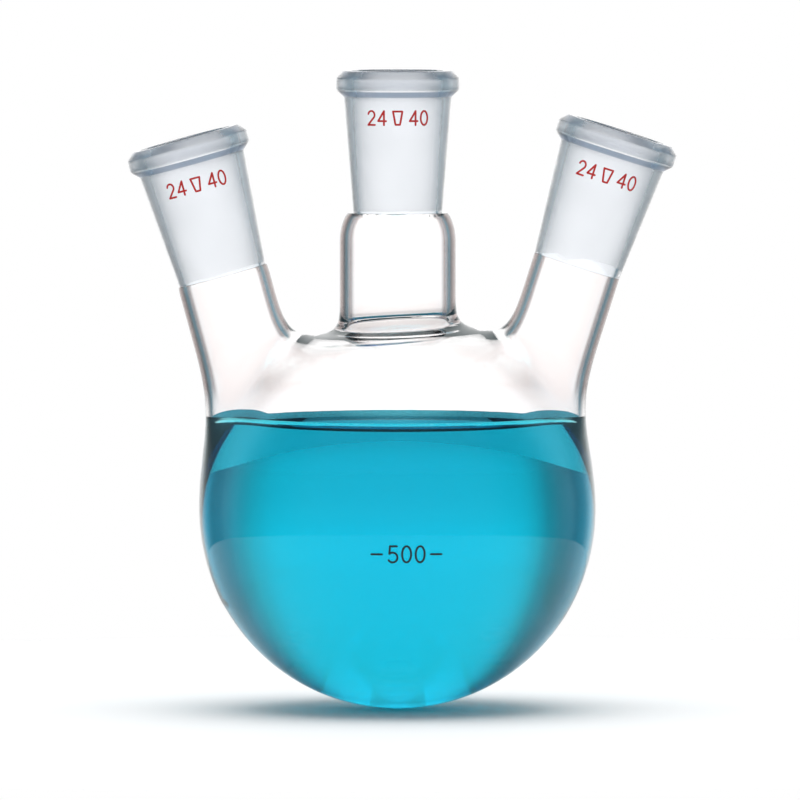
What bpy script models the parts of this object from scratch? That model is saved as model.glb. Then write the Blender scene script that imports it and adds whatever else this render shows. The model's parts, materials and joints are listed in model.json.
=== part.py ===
"""Three-neck round bottom flask with ground taper joints, part full of a blue solution.

Built the way a glassblower builds it: a blown round bulb with three holes, a tubular shank sealed
over each hole, a ground taper joint with a beaded rim on each shank, fired enamel marks, and the
solution inside. Lengths are in metres and +Z is up. The origin is the bulb's bottom pole, the
middle neck stands on +Z, the side necks lean to -X and +X, and the marks face -Y.
"""

import math
from dataclasses import dataclass

import bmesh
import bpy

MM = 0.001

# --- Driving dimensions ---

FIT_GAP = 0.3 * MM  # between pieces that meet face to face

BULB_DIAMETER = 105.0 * MM
BULB_WALL = 2.0 * MM

SHANK_WALL = 2.0 * MM
SEAL_FILLET = 5.0 * MM  # widest flare of a shank's foot over the bulb
SEAL_SPACING = 4.0 * MM  # bare bulb kept between the feet of two shanks
FOOT_EDGE = 0.6 * MM  # thickness of the foot where its flare ends

CENTRE_SHANK_DIAMETER = 30.8 * MM
CENTRE_SHANK_RISE = 26.7 * MM  # along the neck's axis, from the bulb's surface to the joint
CENTRE_SHOULDER_DROP = 8.0 * MM

LEFT_SHANK_DIAMETER = 24.6 * MM
LEFT_SHANK_RISE = 28.4 * MM
LEFT_SEAT_ANGLE = math.radians(47.9)  # from +Z to where the neck's axis crosses the bulb
LEFT_TILT = math.radians(15.3)

RIGHT_SHANK_DIAMETER = 23.6 * MM
RIGHT_SHANK_RISE = 30.6 * MM
RIGHT_SEAT_ANGLE = math.radians(46.7)
RIGHT_TILT = math.radians(17.7)

SIDE_SHOULDER_DROP = 3.0 * MM

JOINT_LENGTH = 37.4 * MM
JOINT_BORE_DIAMETER = 24.0 * MM  # at the mouth
JOINT_TAPER = 0.1  # diameter lost for each unit of length
JOINT_WALL_AT_BASE = 1.65 * MM
JOINT_WALL_AT_RIM = 2.25 * MM  # of the cone, beside the mouth
RIM_OVERHANG = 2.05 * MM  # of the rim, outside the cone
RIM_FLAT_WIDTH = 2.05 * MM
RIM_ROUND = 1.9 * MM
RIM_BAND = 3.5 * MM  # height of the rim's upright side
RIM_CHAMFER = 1.8 * MM
MOUTH_CHAMFER = 0.4 * MM

SOLUTION_LEVEL = 76.9 * MM  # above the bulb's bottom pole

MARK_THICKNESS = 0.2 * MM
JOINT_MARK_WIDTH = 15.0 * MM
JOINT_MARK_HEIGHT = 6.4 * MM
JOINT_MARK_DEPTH = 11.8 * MM  # from the rim's top to the middle of the mark
CAPACITY_MARK_WIDTH = 19.0 * MM
CAPACITY_MARK_HEIGHT = 6.0 * MM
CAPACITY_MARK_LATITUDE = math.radians(-9.4)
CAPACITY_MARK_LONGITUDE = math.radians(-87.4)

# --- Facets ---

BULB_STEPS = 48
BULB_ARC_POINTS = 22
NECK_STEPS = 48
SHOULDER_POINTS = 5
FILLET_POINTS = 5
RIM_ARC_POINTS = 4
SEAT_POINTS = 3
MARK_STEPS = 8
MERGE = 0.01 * MM

# --- Sizes that follow from them ---

BULB_RADIUS = BULB_DIAMETER / 2
BULB_INSIDE_RADIUS = BULB_RADIUS - BULB_WALL
JOINT_MOUTH_RADIUS = JOINT_BORE_DIAMETER / 2
JOINT_BASE_BORE_RADIUS = JOINT_MOUTH_RADIUS - JOINT_TAPER * JOINT_LENGTH / 2
JOINT_BASE_RADIUS = JOINT_BASE_BORE_RADIUS + JOINT_WALL_AT_BASE
JOINT_CONE_RADIUS = JOINT_MOUTH_RADIUS + JOINT_WALL_AT_RIM
RIM_RADIUS = JOINT_CONE_RADIUS + RIM_OVERHANG
FOOT_SEAT_RADIUS = BULB_RADIUS + FIT_GAP


@dataclass(frozen=True)
class Neck:
    """One neck. tilt is signed, and leans the neck towards +X; so is offset."""

    name: str
    shank_radius: float
    rise: float
    seat_angle: float
    tilt: float
    shoulder_drop: float

    @property
    def offset(self):
        """Distance of the neck's axis from the bulb's centre, along the neck's own X."""
        return BULB_RADIUS * math.sin(self.seat_angle - self.tilt)

    @property
    def bore_radius(self):
        return self.shank_radius - SHANK_WALL

    @property
    def joint_height(self):
        """Height of the joint's base along the axis, from its point nearest the bulb's centre."""
        return BULB_RADIUS * math.cos(self.seat_angle - self.tilt) + self.rise

    def seat_height(self, radius, angle, sphere_radius):
        """Height at which a line parallel to the axis meets a sphere round the bulb's centre."""
        across = radius * math.cos(angle) + self.offset
        along = radius * math.sin(angle)
        return math.sqrt(sphere_radius**2 - across**2 - along**2)


CENTRE = Neck(
    "centre", CENTRE_SHANK_DIAMETER / 2, CENTRE_SHANK_RISE, 0.0, 0.0, CENTRE_SHOULDER_DROP
)
LEFT = Neck(
    "left", LEFT_SHANK_DIAMETER / 2, LEFT_SHANK_RISE, -LEFT_SEAT_ANGLE, -LEFT_TILT, SIDE_SHOULDER_DROP
)
RIGHT = Neck(
    "right", RIGHT_SHANK_DIAMETER / 2, RIGHT_SHANK_RISE, RIGHT_SEAT_ANGLE, RIGHT_TILT, SIDE_SHOULDER_DROP
)
SIDE_NECKS = (LEFT, RIGHT)
NECKS = (CENTRE, LEFT, RIGHT)


# --- Materials ---


def principled(name, colour, roughness, transmission=0.0):
    """A non-metallic Principled material."""
    material = bpy.data.materials.new(name)
    material.use_nodes = True
    shader = material.node_tree.nodes["Principled BSDF"]
    shader.inputs["Base Color"].default_value = (*colour, 1.0)
    shader.inputs["Roughness"].default_value = roughness
    shader.inputs["Metallic"].default_value = 0.0
    shader.inputs["Transmission Weight"].default_value = transmission
    material.diffuse_color = (*colour, 1.0)
    return material


def clear_glass(name):
    return principled(name, (0.88, 0.93, 0.95), 0.02, transmission=1.0)


def ground_glass(name):
    return principled(name, (0.84, 0.86, 0.90), 0.55, transmission=0.6)


def blue_solution(name):
    return principled(name, (0.03, 0.55, 0.78), 0.02, transmission=0.6)


def red_enamel(name):
    return principled(name, (0.62, 0.02, 0.02), 0.35)


def dark_enamel(name):
    return principled(name, (0.01, 0.03, 0.05), 0.35)


# --- Helpers ---


def clear_scene():
    for thing in list(bpy.data.objects):
        bpy.data.objects.remove(thing, do_unlink=True)


def new_collection(name):
    collection = bpy.data.collections.new(name)
    bpy.context.scene.collection.children.link(collection)
    return collection


def add_object(name, mesh, collection, material=None, parent=None):
    thing = bpy.data.objects.new(name, mesh)
    collection.objects.link(thing)
    thing.parent = parent
    if material is not None:
        mesh.materials.append(material)
    return thing


def profile_mesh(name, points, closed):
    """A chain of edges in the XZ plane, through points of (radius, height)."""
    mesh = bpy.data.meshes.new(name)
    count = len(points)
    edges = [(i, (i + 1) % count) for i in range(count if closed else count - 1)]
    mesh.from_pydata([(radius, 0.0, height) for radius, height in points], edges, [])
    return mesh


def turn(thing, steps, angle=math.tau):
    """Turns the profile about its own Z."""
    screw = thing.modifiers.new("turned", "SCREW")
    screw.axis = "Z"
    screw.angle = angle
    screw.steps = steps
    screw.render_steps = steps
    screw.use_merge_vertices = angle == math.tau
    screw.merge_threshold = MERGE
    screw.use_smooth_shade = True


def keep_turned_mesh(thing):
    """Applies the modifiers, so that edges of the turned mesh can be marked sharp."""
    evaluated = thing.evaluated_get(bpy.context.evaluated_depsgraph_get())
    profile = thing.data
    thing.data = bpy.data.meshes.new_from_object(evaluated)
    thing.modifiers.clear()
    bpy.data.meshes.remove(profile)
    thing.data.name = thing.name


def arc(radius, start, end, points, centre=(0.0, 0.0)):
    """Points of an arc in the profile plane. Angles are measured from +X, towards +Z."""
    steps = [start + (end - start) * i / (points - 1) for i in range(points)]
    return [
        (centre[0] + radius * math.cos(angle), centre[1] + radius * math.sin(angle))
        for angle in steps
    ]


def quarter_ellipse(top, bottom, points):
    """Leaves top level and arrives at bottom upright. Both are (radius, height)."""
    width = bottom[0] - top[0]
    drop = top[1] - bottom[1]
    angles = [math.pi / 2 * i / (points - 1) for i in range(points)]
    return [
        (top[0] + width * math.sin(angle), bottom[1] + drop * math.cos(angle))
        for angle in angles
    ]


def loft_rings(name, rings):
    """A closed ring of rings: each joins the next one, and the last joins the first."""
    mesh = bpy.data.meshes.new(name)
    form = bmesh.new()
    rows = [[form.verts.new(point) for point in ring] for ring in rings]
    for row, following in zip(rows, rows[1:] + rows[:1]):
        for i in range(len(row)):
            j = (i + 1) % len(row)
            form.faces.new((row[i], following[i], following[j], row[j]))
    bmesh.ops.recalc_face_normals(form, faces=form.faces)
    form.to_mesh(mesh)
    form.free()
    return mesh


def smooth_with_edges(mesh, sharp_angle=math.radians(35)):
    mesh.shade_smooth()
    mesh.set_sharp_from_angle(angle=sharp_angle)


# --- Pieces ---


def neck_frame(neck, collection):
    """An empty on the neck's axis at its point nearest the bulb's centre, with Z up the neck."""
    frame = bpy.data.objects.new(f"{neck.name}_neck_axis", None)
    collection.objects.link(frame)
    frame.rotation_euler = (0.0, neck.tilt, 0.0)
    frame.location = (
        neck.offset * math.cos(neck.tilt),
        0.0,
        BULB_RADIUS - neck.offset * math.sin(neck.tilt),
    )
    return frame


def make_bulb(collection, cutters, frames):
    """The round shell, open at the top, with a hole bored through it for each side neck."""
    centre = (0.0, BULB_RADIUS)
    bottom = -math.pi / 2
    inside = arc(
        BULB_INSIDE_RADIUS,
        bottom,
        math.acos(CENTRE.bore_radius / BULB_INSIDE_RADIUS),
        BULB_ARC_POINTS,
        centre,
    )
    outside = arc(
        BULB_RADIUS, math.acos(CENTRE.bore_radius / BULB_RADIUS), bottom, BULB_ARC_POINTS, centre
    )
    inside[0] = (0.0, BULB_WALL)
    outside[-1] = (0.0, 0.0)
    mesh = profile_mesh("bulb", inside + outside, closed=False)
    bulb = add_object("bulb", mesh, collection, clear_glass("bulb_glass"))
    turn(bulb, BULB_STEPS)
    for neck in SIDE_NECKS:
        cutter = make_bore_cutter(neck, cutters, frames[neck.name])
        cut = bulb.modifiers.new(f"{neck.name}_hole", "BOOLEAN")
        cut.operation = "DIFFERENCE"
        cut.solver = "EXACT"
        cut.object = cutter


def make_bore_cutter(neck, cutters, frame):
    """A rod of the neck's bore, from the middle of the bulb's hollow to the joint."""
    mesh = bpy.data.meshes.new(f"{neck.name}_bore_cutter")
    form = bmesh.new()
    bmesh.ops.create_cone(
        form,
        cap_ends=True,
        segments=NECK_STEPS,
        radius1=neck.bore_radius,
        radius2=neck.bore_radius,
        depth=neck.joint_height,
    )
    form.to_mesh(mesh)
    form.free()
    cutter = add_object(mesh.name, mesh, cutters, parent=frame)
    cutter.location.z = neck.joint_height / 2
    cutter.hide_render = True
    cutter.display_type = "WIRE"
    return cutter


def seal_fillet():
    """The foot's flare, limited so that the feet of two shanks leave bare bulb between them."""
    centre_wall = math.asin(CENTRE.shank_radius / BULB_RADIUS)
    free = [
        BULB_RADIUS * (side_wall_angle(neck) - centre_wall) - SEAL_SPACING for neck in SIDE_NECKS
    ]
    return min(SEAL_FILLET, min(free) / 2)


def side_wall_angle(neck):
    """Angle from +Z to where the side neck's nearest wall meets the bulb."""
    nearest = abs(neck.offset) - neck.shank_radius
    return abs(neck.tilt) + math.asin(nearest / BULB_RADIUS)


def shank_line(neck, angle, fillet):
    """The shank's wall at one angle: down the outside, under the foot and up the bore."""
    radius = neck.shank_radius
    bore = neck.bore_radius
    top = neck.joint_height - FIT_GAP
    shoulder = quarter_ellipse(
        (JOINT_BASE_RADIUS, top), (radius, top - neck.shoulder_drop), SHOULDER_POINTS
    )
    corner = neck.seat_height(radius, angle, FOOT_SEAT_RADIUS + FOOT_EDGE)
    toe = neck.seat_height(radius + fillet, angle, FOOT_SEAT_RADIUS + FOOT_EDGE)
    flare = []
    for i in range(FILLET_POINTS):
        t = i / (FILLET_POINTS - 1)
        across = radius + fillet * t**2
        up = (corner + fillet) * (1 - t) ** 2 + 2 * corner * t * (1 - t) + toe * t**2
        flare.append((across, up))
    seat = []
    for i in range(SEAT_POINTS):
        across = radius + fillet + (bore - radius - fillet) * i / (SEAT_POINTS - 1)
        seat.append((across, neck.seat_height(across, angle, FOOT_SEAT_RADIUS)))
    inner_shoulder = quarter_ellipse(
        (JOINT_BASE_BORE_RADIUS, top - SHANK_WALL),
        (bore, top - SHANK_WALL - neck.shoulder_drop),
        SHOULDER_POINTS,
    )
    bore_line = list(reversed(inner_shoulder))
    return shoulder + flare + seat + bore_line + [(JOINT_BASE_BORE_RADIUS, top)]


def make_shank(neck, collection, frame):
    """A tube with a rounded shoulder at the joint and a flared foot that fits over the bulb."""
    fillet = seal_fillet()
    angles = [math.tau * i / NECK_STEPS for i in range(NECK_STEPS)]
    lines = [shank_line(neck, angle, fillet) for angle in angles]
    rings = [
        [
            (radius * math.cos(angle), radius * math.sin(angle), height)
            for angle, (radius, height) in zip(angles, level)
        ]
        for level in zip(*lines)
    ]
    mesh = loft_rings(f"{neck.name}_shank", rings)
    smooth_with_edges(mesh)
    add_object(mesh.name, mesh, collection, clear_glass(f"{mesh.name}_glass"), frame)


def joint_profile():
    """Section of a ground joint: beaded rim and cone outside, 1 in 10 taper inside."""
    top = JOINT_LENGTH
    round_base = top - RIM_ROUND
    rim_base = round_base - RIM_BAND
    mouth_edge = JOINT_MOUTH_RADIUS + MOUTH_CHAMFER
    bevel_radius = JOINT_MOUTH_RADIUS - JOINT_TAPER * MOUTH_CHAMFER / 2
    rounding = quarter_ellipse(
        (mouth_edge + RIM_FLAT_WIDTH, top), (RIM_RADIUS, round_base), RIM_ARC_POINTS
    )
    return [
        (JOINT_BASE_BORE_RADIUS, 0.0),
        (bevel_radius, top - MOUTH_CHAMFER),
        (mouth_edge, top),
        *rounding,
        (RIM_RADIUS, rim_base),
        (JOINT_CONE_RADIUS, rim_base - RIM_CHAMFER),
        (JOINT_BASE_RADIUS, 0.0),
    ]


def make_joint(neck, collection, frame):
    """The ground taper joint, standing on its shank."""
    mesh = profile_mesh(f"{neck.name}_joint", joint_profile(), closed=True)
    joint = add_object(mesh.name, mesh, collection, ground_glass(f"{mesh.name}_glass"), frame)
    joint.location.z = neck.joint_height
    turn(joint, NECK_STEPS)
    keep_turned_mesh(joint)
    smooth_with_edges(joint.data)


def cone_radius_at(depth):
    """Outside radius of a joint's cone, at this depth under its rim's top."""
    cone_top = RIM_ROUND + RIM_BAND + RIM_CHAMFER
    along = (depth - cone_top) / (JOINT_LENGTH - cone_top)
    return JOINT_CONE_RADIUS + (JOINT_BASE_RADIUS - JOINT_CONE_RADIUS) * along


def make_mark(name, points, width, collection, material, parent=None):
    """A thin layer over a turned face: points is its section, width its length along the face."""
    radius = max(radius for radius, _ in points)
    span = width / radius
    mark = add_object(name, profile_mesh(name, points, closed=False), collection, material, parent)
    turn(mark, MARK_STEPS, span)
    layer = mark.modifiers.new("layer", "SOLIDIFY")
    layer.thickness = MARK_THICKNESS
    layer.offset = 1.0
    return mark, span


def make_joint_mark(neck, collection, frame):
    """The joint's size mark, on the front of its cone."""
    depths = (JOINT_MARK_DEPTH - JOINT_MARK_HEIGHT / 2, JOINT_MARK_DEPTH + JOINT_MARK_HEIGHT / 2)
    points = [(cone_radius_at(depth) + FIT_GAP, JOINT_LENGTH - depth) for depth in depths]
    name = f"{neck.name}_joint_mark"
    enamel = red_enamel(f"{name}_enamel")
    mark, span = make_mark(name, points, JOINT_MARK_WIDTH, collection, enamel, frame)
    mark.location.z = neck.joint_height
    mark.rotation_euler.z = -math.pi / 2 - span / 2


def make_capacity_mark(collection):
    """The capacity mark, on the front of the bulb."""
    radius = BULB_RADIUS + FIT_GAP
    half_height = CAPACITY_MARK_HEIGHT / 2 / radius
    points = arc(
        radius,
        CAPACITY_MARK_LATITUDE + half_height,
        CAPACITY_MARK_LATITUDE - half_height,
        MARK_STEPS,
    )
    enamel = dark_enamel("capacity_mark_enamel")
    mark, span = make_mark("capacity_mark", points, CAPACITY_MARK_WIDTH, collection, enamel)
    mark.location.z = BULB_RADIUS
    mark.rotation_euler.z = CAPACITY_MARK_LONGITUDE - span / 2


def make_solution(collection):
    """The liquid: a ball that clears the bulb's wall, cut level at its surface."""
    radius = BULB_INSIDE_RADIUS - FIT_GAP
    level = math.asin((SOLUTION_LEVEL - BULB_RADIUS) / radius)
    side = arc(radius, level, -math.pi / 2, BULB_ARC_POINTS, (0.0, BULB_RADIUS))
    side[-1] = (0.0, BULB_RADIUS - radius)
    mesh = profile_mesh("solution", [(0.0, SOLUTION_LEVEL), *side], closed=False)
    turn(add_object("solution", mesh, collection, blue_solution("solution_blue")), BULB_STEPS)


def main():
    clear_scene()
    flask = new_collection("round_bottom_flask")
    cutters = new_collection("cutters")
    frames = {neck.name: neck_frame(neck, flask) for neck in NECKS}
    make_bulb(flask, cutters, frames)
    for neck in NECKS:
        make_shank(neck, flask, frames[neck.name])
        make_joint(neck, flask, frames[neck.name])
        make_joint_mark(neck, flask, frames[neck.name])
    make_capacity_mark(flask)
    make_solution(flask)


main()
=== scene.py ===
"""Looks of a three-neck round bottom flask, part full of a blue solution.

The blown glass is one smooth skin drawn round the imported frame's bulb and shanks. The ground
joints, the solution and the fired enamel marks are pieces of their own. Lengths are in metres, +Z
is up, the side necks lean to -X and +X, and the marks face -Y.
"""

import json
import logging
import math
from dataclasses import dataclass, field
from enum import Enum
from typing import Callable, Iterable

import bmesh
import bpy
import numpy as np
from mathutils import Matrix, Vector


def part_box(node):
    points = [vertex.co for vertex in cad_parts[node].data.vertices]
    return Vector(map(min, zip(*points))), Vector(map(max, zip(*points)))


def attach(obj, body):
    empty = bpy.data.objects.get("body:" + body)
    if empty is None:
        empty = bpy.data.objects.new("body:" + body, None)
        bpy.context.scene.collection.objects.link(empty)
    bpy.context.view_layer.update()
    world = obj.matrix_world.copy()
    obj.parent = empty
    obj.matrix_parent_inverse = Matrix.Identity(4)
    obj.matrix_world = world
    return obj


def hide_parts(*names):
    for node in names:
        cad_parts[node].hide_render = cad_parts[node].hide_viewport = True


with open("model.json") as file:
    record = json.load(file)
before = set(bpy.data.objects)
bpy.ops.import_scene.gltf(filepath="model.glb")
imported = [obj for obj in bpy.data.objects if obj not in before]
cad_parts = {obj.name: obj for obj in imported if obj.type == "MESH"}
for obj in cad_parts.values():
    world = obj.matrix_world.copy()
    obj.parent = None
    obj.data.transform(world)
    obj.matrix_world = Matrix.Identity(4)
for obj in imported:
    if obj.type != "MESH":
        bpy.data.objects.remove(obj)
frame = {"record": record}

LOG = logging.getLogger("flask")
MM = 0.001

Points = np.ndarray
Field = Callable[[Points], np.ndarray]
Stroke = list[tuple[float, float]]


class Slot(Enum):
    """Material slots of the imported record."""

    CLEAR = "clear_glass"
    GROUND = "ground_glass"
    SOLUTION = "blue_solution"
    RED = "red_enamel"
    DARK = "dark_enamel"


class Skin(Enum):
    """The two faces of the blown glass."""

    OUTSIDE = "outside"
    INSIDE = "inside"


# --- Shader helpers ---


class Shader:
    """Adds and links nodes in one node tree."""

    def __init__(self, tree: bpy.types.NodeTree) -> None:
        """Takes the tree to fill."""
        self.tree = tree

    def add(self, kind: str, **values: object) -> bpy.types.Node:
        """Adds a node.

        Args:
            kind: the node's type name.
            values: properties of the node, or its input sockets with _ for a space. A value that
                is a socket is linked.

        Returns:
            The node.
        """
        node = self.tree.nodes.new(kind)
        for name, value in values.items():
            if hasattr(node, name):
                setattr(node, name, value)
                continue
            socket = node.inputs[name.replace("_", " ")]
            if isinstance(value, bpy.types.NodeSocket):
                self.tree.links.new(value, socket)
            else:
                socket.default_value = value
        return node

    def link(self, source: bpy.types.NodeSocket, target: bpy.types.NodeSocket) -> None:
        """Links two sockets."""
        self.tree.links.new(source, target)

    def math(self, operation: str, *values: object) -> bpy.types.NodeSocket:
        """Adds a Math node on values or sockets, and returns its result."""
        node = self.add("ShaderNodeMath", operation=operation)
        for i, value in enumerate(values):
            if isinstance(value, bpy.types.NodeSocket):
                self.link(value, node.inputs[i])
            else:
                node.inputs[i].default_value = value
        return node.outputs[0]

    def ramp(
        self, value: bpy.types.NodeSocket, low: float, high: float, start: object, end: object
    ) -> bpy.types.NodeSocket:
        """Maps low to high smoothly onto start to end.

        Args:
            value: what is mapped.
            low: the value that gives start.
            high: the value that gives end.
            start: a number, or a socket that holds one.
            end: a number, or a socket that holds one.

        Returns:
            The mapped value.
        """
        node = self.add("ShaderNodeMapRange", interpolation_type="SMOOTHSTEP")
        for i, given in enumerate((value, low, high, start, end)):
            if isinstance(given, bpy.types.NodeSocket):
                self.link(given, node.inputs[i])
            else:
                node.inputs[i].default_value = given
        return node.outputs[0]

    def height(self) -> bpy.types.NodeSocket:
        """The height of each spot, along the piece's own Z."""
        place = self.add("ShaderNodeTexCoord").outputs["Object"]
        return self.add("ShaderNodeSeparateXYZ", Vector=place).outputs["Z"]

    def blend(self, share: bpy.types.NodeSocket, first: object, second: object) -> bpy.types.NodeSocket:
        """Mixes two colours, given as sockets or as numbers, by a share of the second."""
        node = self.add("ShaderNodeMix", data_type="RGBA")
        self.link(share, node.inputs[0])
        for socket, colour in ((node.inputs[6], first), (node.inputs[7], second)):
            if isinstance(colour, bpy.types.NodeSocket):
                self.link(colour, socket)
            else:
                socket.default_value = (*colour, 1.0)
        return node.outputs[2]


def new_group(name: str, inputs: dict[str, float], outputs: Iterable[str]) -> bpy.types.ShaderNodeTree:
    """Makes an empty node group with named number sockets.

    Args:
        name: the group's name.
        inputs: each input's name and default value.
        outputs: each output's name.

    Returns:
        The group, with its input and output nodes in place.
    """
    tree = bpy.data.node_groups.new(name, "ShaderNodeTree")
    for label, value in inputs.items():
        socket = tree.interface.new_socket(label, in_out="INPUT", socket_type="NodeSocketFloat")
        socket.default_value = value
    for label in outputs:
        tree.interface.new_socket(label, in_out="OUTPUT", socket_type="NodeSocketFloat")
    tree.nodes.new("NodeGroupInput")
    tree.nodes.new("NodeGroupOutput")
    return tree


def waves_group() -> bpy.types.ShaderNodeTree:
    """Slow unevenness of a surface that set from a melt or stands as a liquid: a Height."""
    tree = new_group("slow_waves", {"Scale": 20.0, "Fine": 0.2}, ["Height"])
    shader = Shader(tree)
    given = tree.nodes["Group Input"].outputs
    place = shader.add("ShaderNodeTexCoord").outputs["Object"]
    broad = shader.add("ShaderNodeTexNoise", Vector=place, Scale=given["Scale"], Detail=1.0)
    close = shader.add(
        "ShaderNodeTexNoise", Vector=place, Scale=shader.math("MULTIPLY", given["Scale"], 5.0), Detail=2.0
    )
    fine = shader.math("MULTIPLY", close.outputs[0], given["Fine"])
    shader.link(
        shader.math("ADD", broad.outputs[0], fine), tree.nodes["Group Output"].inputs["Height"]
    )
    return tree


def grain_group() -> bpy.types.ShaderNodeTree:
    """Ground or fired grain: a Value between Low and High, and a Height."""
    tree = new_group(
        "fine_grain", {"Scale": 2500.0, "Rings": 900.0, "Low": 0.4, "High": 0.6}, ["Value", "Height"]
    )
    shader = Shader(tree)
    given = tree.nodes["Group Input"].outputs
    place = shader.add("ShaderNodeTexCoord").outputs["Object"]
    speck = shader.add("ShaderNodeTexNoise", Vector=place, Scale=given["Scale"], Detail=3.0)
    cloud = shader.add("ShaderNodeTexNoise", Vector=place, Scale=110.0, Detail=2.0)
    along = shader.add("ShaderNodeSeparateXYZ", Vector=place).outputs["Z"]
    line = shader.add(
        "ShaderNodeTexNoise", noise_dimensions="1D", W=along, Scale=given["Rings"], Detail=2.0
    )
    mixed = shader.math("ADD", speck.outputs[0], line.outputs[0])
    height = shader.math("MULTIPLY", mixed, 0.5)
    level = shader.math("MULTIPLY_ADD", cloud.outputs[0], 0.6, shader.math("MULTIPLY", height, 0.4))
    out = tree.nodes["Group Output"].inputs
    shader.link(shader.ramp(level, 0.3, 0.7, given["Low"], given["High"]), out["Value"])
    shader.link(height, out["Height"])
    return tree


def add_group(shader: Shader, tree: bpy.types.ShaderNodeTree, **values: object) -> bpy.types.Node:
    """Places a node group and sets its inputs.

    Args:
        shader: the material's shader helper.
        tree: the group.
        values: each input's value.

    Returns:
        The group's node.
    """
    node = shader.add("ShaderNodeGroup", node_tree=tree)
    for name, value in values.items():
        node.inputs[name].default_value = value
    return node


@dataclass(frozen=True)
class Effects:
    """The node groups that the finishes share."""

    waves: bpy.types.ShaderNodeTree = field(default_factory=waves_group)
    grain: bpy.types.ShaderNodeTree = field(default_factory=grain_group)


# --- Finishes ---


def new_material(name: str) -> tuple[bpy.types.Material, Shader, bpy.types.Node]:
    """Makes a material and returns it with its helper and its Principled node."""
    material = bpy.data.materials.new(name)
    material.use_nodes = True
    tree = material.node_tree
    return material, Shader(tree), tree.nodes["Principled BSDF"]


@dataclass(frozen=True)
class ClearGlass:
    """Clear borosilicate glass, polished by the flame.

    The tubes' sides above the liquid carry painted shade in their colour, where light passes them at a
    slant;
    it stands for a studio's dark borders seen there. Each span below is where the painted shade starts and
    where it is full.
    """

    colour: tuple[float, float, float] = (0.985, 0.99, 0.99)
    refraction: float = 1.474
    wave_scale: float = 24.0
    wave_height: float = 0.12 * MM
    haze: float = 0.012
    glare: tuple[float, float, float] = (0.2, 0.8, 0.9)
    edge_shade: tuple[float, float, float] = (0.2, 0.145, 0.135)
    slant_span: tuple[float, float] = (0.46, 0.62)
    sideways_span: tuple[float, float] = (0.5, 0.7)
    rise_span: tuple[float, float] = (1.0 * MM, 9.0 * MM)

    def material(self, name: str, effects: Effects, level: float) -> bpy.types.Material:
        """Makes the material.

        Args:
            name: the material's name.
            effects: the shared node groups.
            level: height of the liquid's top, above which the tubes' edges are shaded.

        Returns:
            The material.
        """
        material, shader, glass = new_material(name)
        # painted shade: the tubes' edges above the liquid are darkened in the base colour
        edges = self.edge_shade_mask(shader, level)
        shader.link(shader.blend(edges, self.colour, self.edge_shade), glass.inputs["Base Color"])
        glass.inputs["Specular Tint"].default_value = (*self.glare, 1.0)
        glass.inputs["IOR"].default_value = self.refraction
        glass.inputs["Transmission Weight"].default_value = 1.0
        grain = add_group(shader, effects.grain, Scale=140.0, Rings=30.0, Low=0.0, High=self.haze)
        shader.link(grain.outputs["Value"], glass.inputs["Roughness"])
        waves = add_group(shader, effects.waves, Scale=self.wave_scale, Fine=0.05)
        bump = shader.add("ShaderNodeBump", Height=waves.outputs["Height"], Distance=self.wave_height)
        shader.link(bump.outputs[0], glass.inputs["Normal"])
        return material

    def edge_shade_mask(self, shader: Shader, level: float) -> bpy.types.NodeSocket:
        """How much painted shade a spot takes: how far it is on a side of a tube that light passes at a
        slant, above a level.
        """
        facing = shader.add("ShaderNodeLayerWeight").outputs["Facing"]
        normal = shader.add("ShaderNodeNewGeometry").outputs["Normal"]
        across = shader.math("ABSOLUTE", shader.add("ShaderNodeSeparateXYZ", Vector=normal).outputs["X"])
        start, full = self.rise_span
        slanting = shader.ramp(facing, *self.slant_span, 0.0, 1.0)
        sideways = shader.ramp(across, *self.sideways_span, 0.0, 1.0)
        above = shader.ramp(shader.height(), level + start, level + full, 0.0, 1.0)
        return shader.math("MULTIPLY", shader.math("MULTIPLY", slanting, sideways), above)


def absorb(shader: Shader, density: float, keeps: tuple[float, float, float]) -> None:
    """Fills a material's volume with a dye.

    Args:
        shader: the material's shader helper.
        density: how much light a metre takes out.
        keeps: the share of each colour that it leaves.
    """
    dye = shader.add("ShaderNodeVolumeAbsorption", Density=density)
    dye.inputs["Color"].default_value = (*keeps, 1.0)
    shader.link(dye.outputs[0], shader.tree.nodes["Material Output"].inputs["Volume"])


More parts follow.
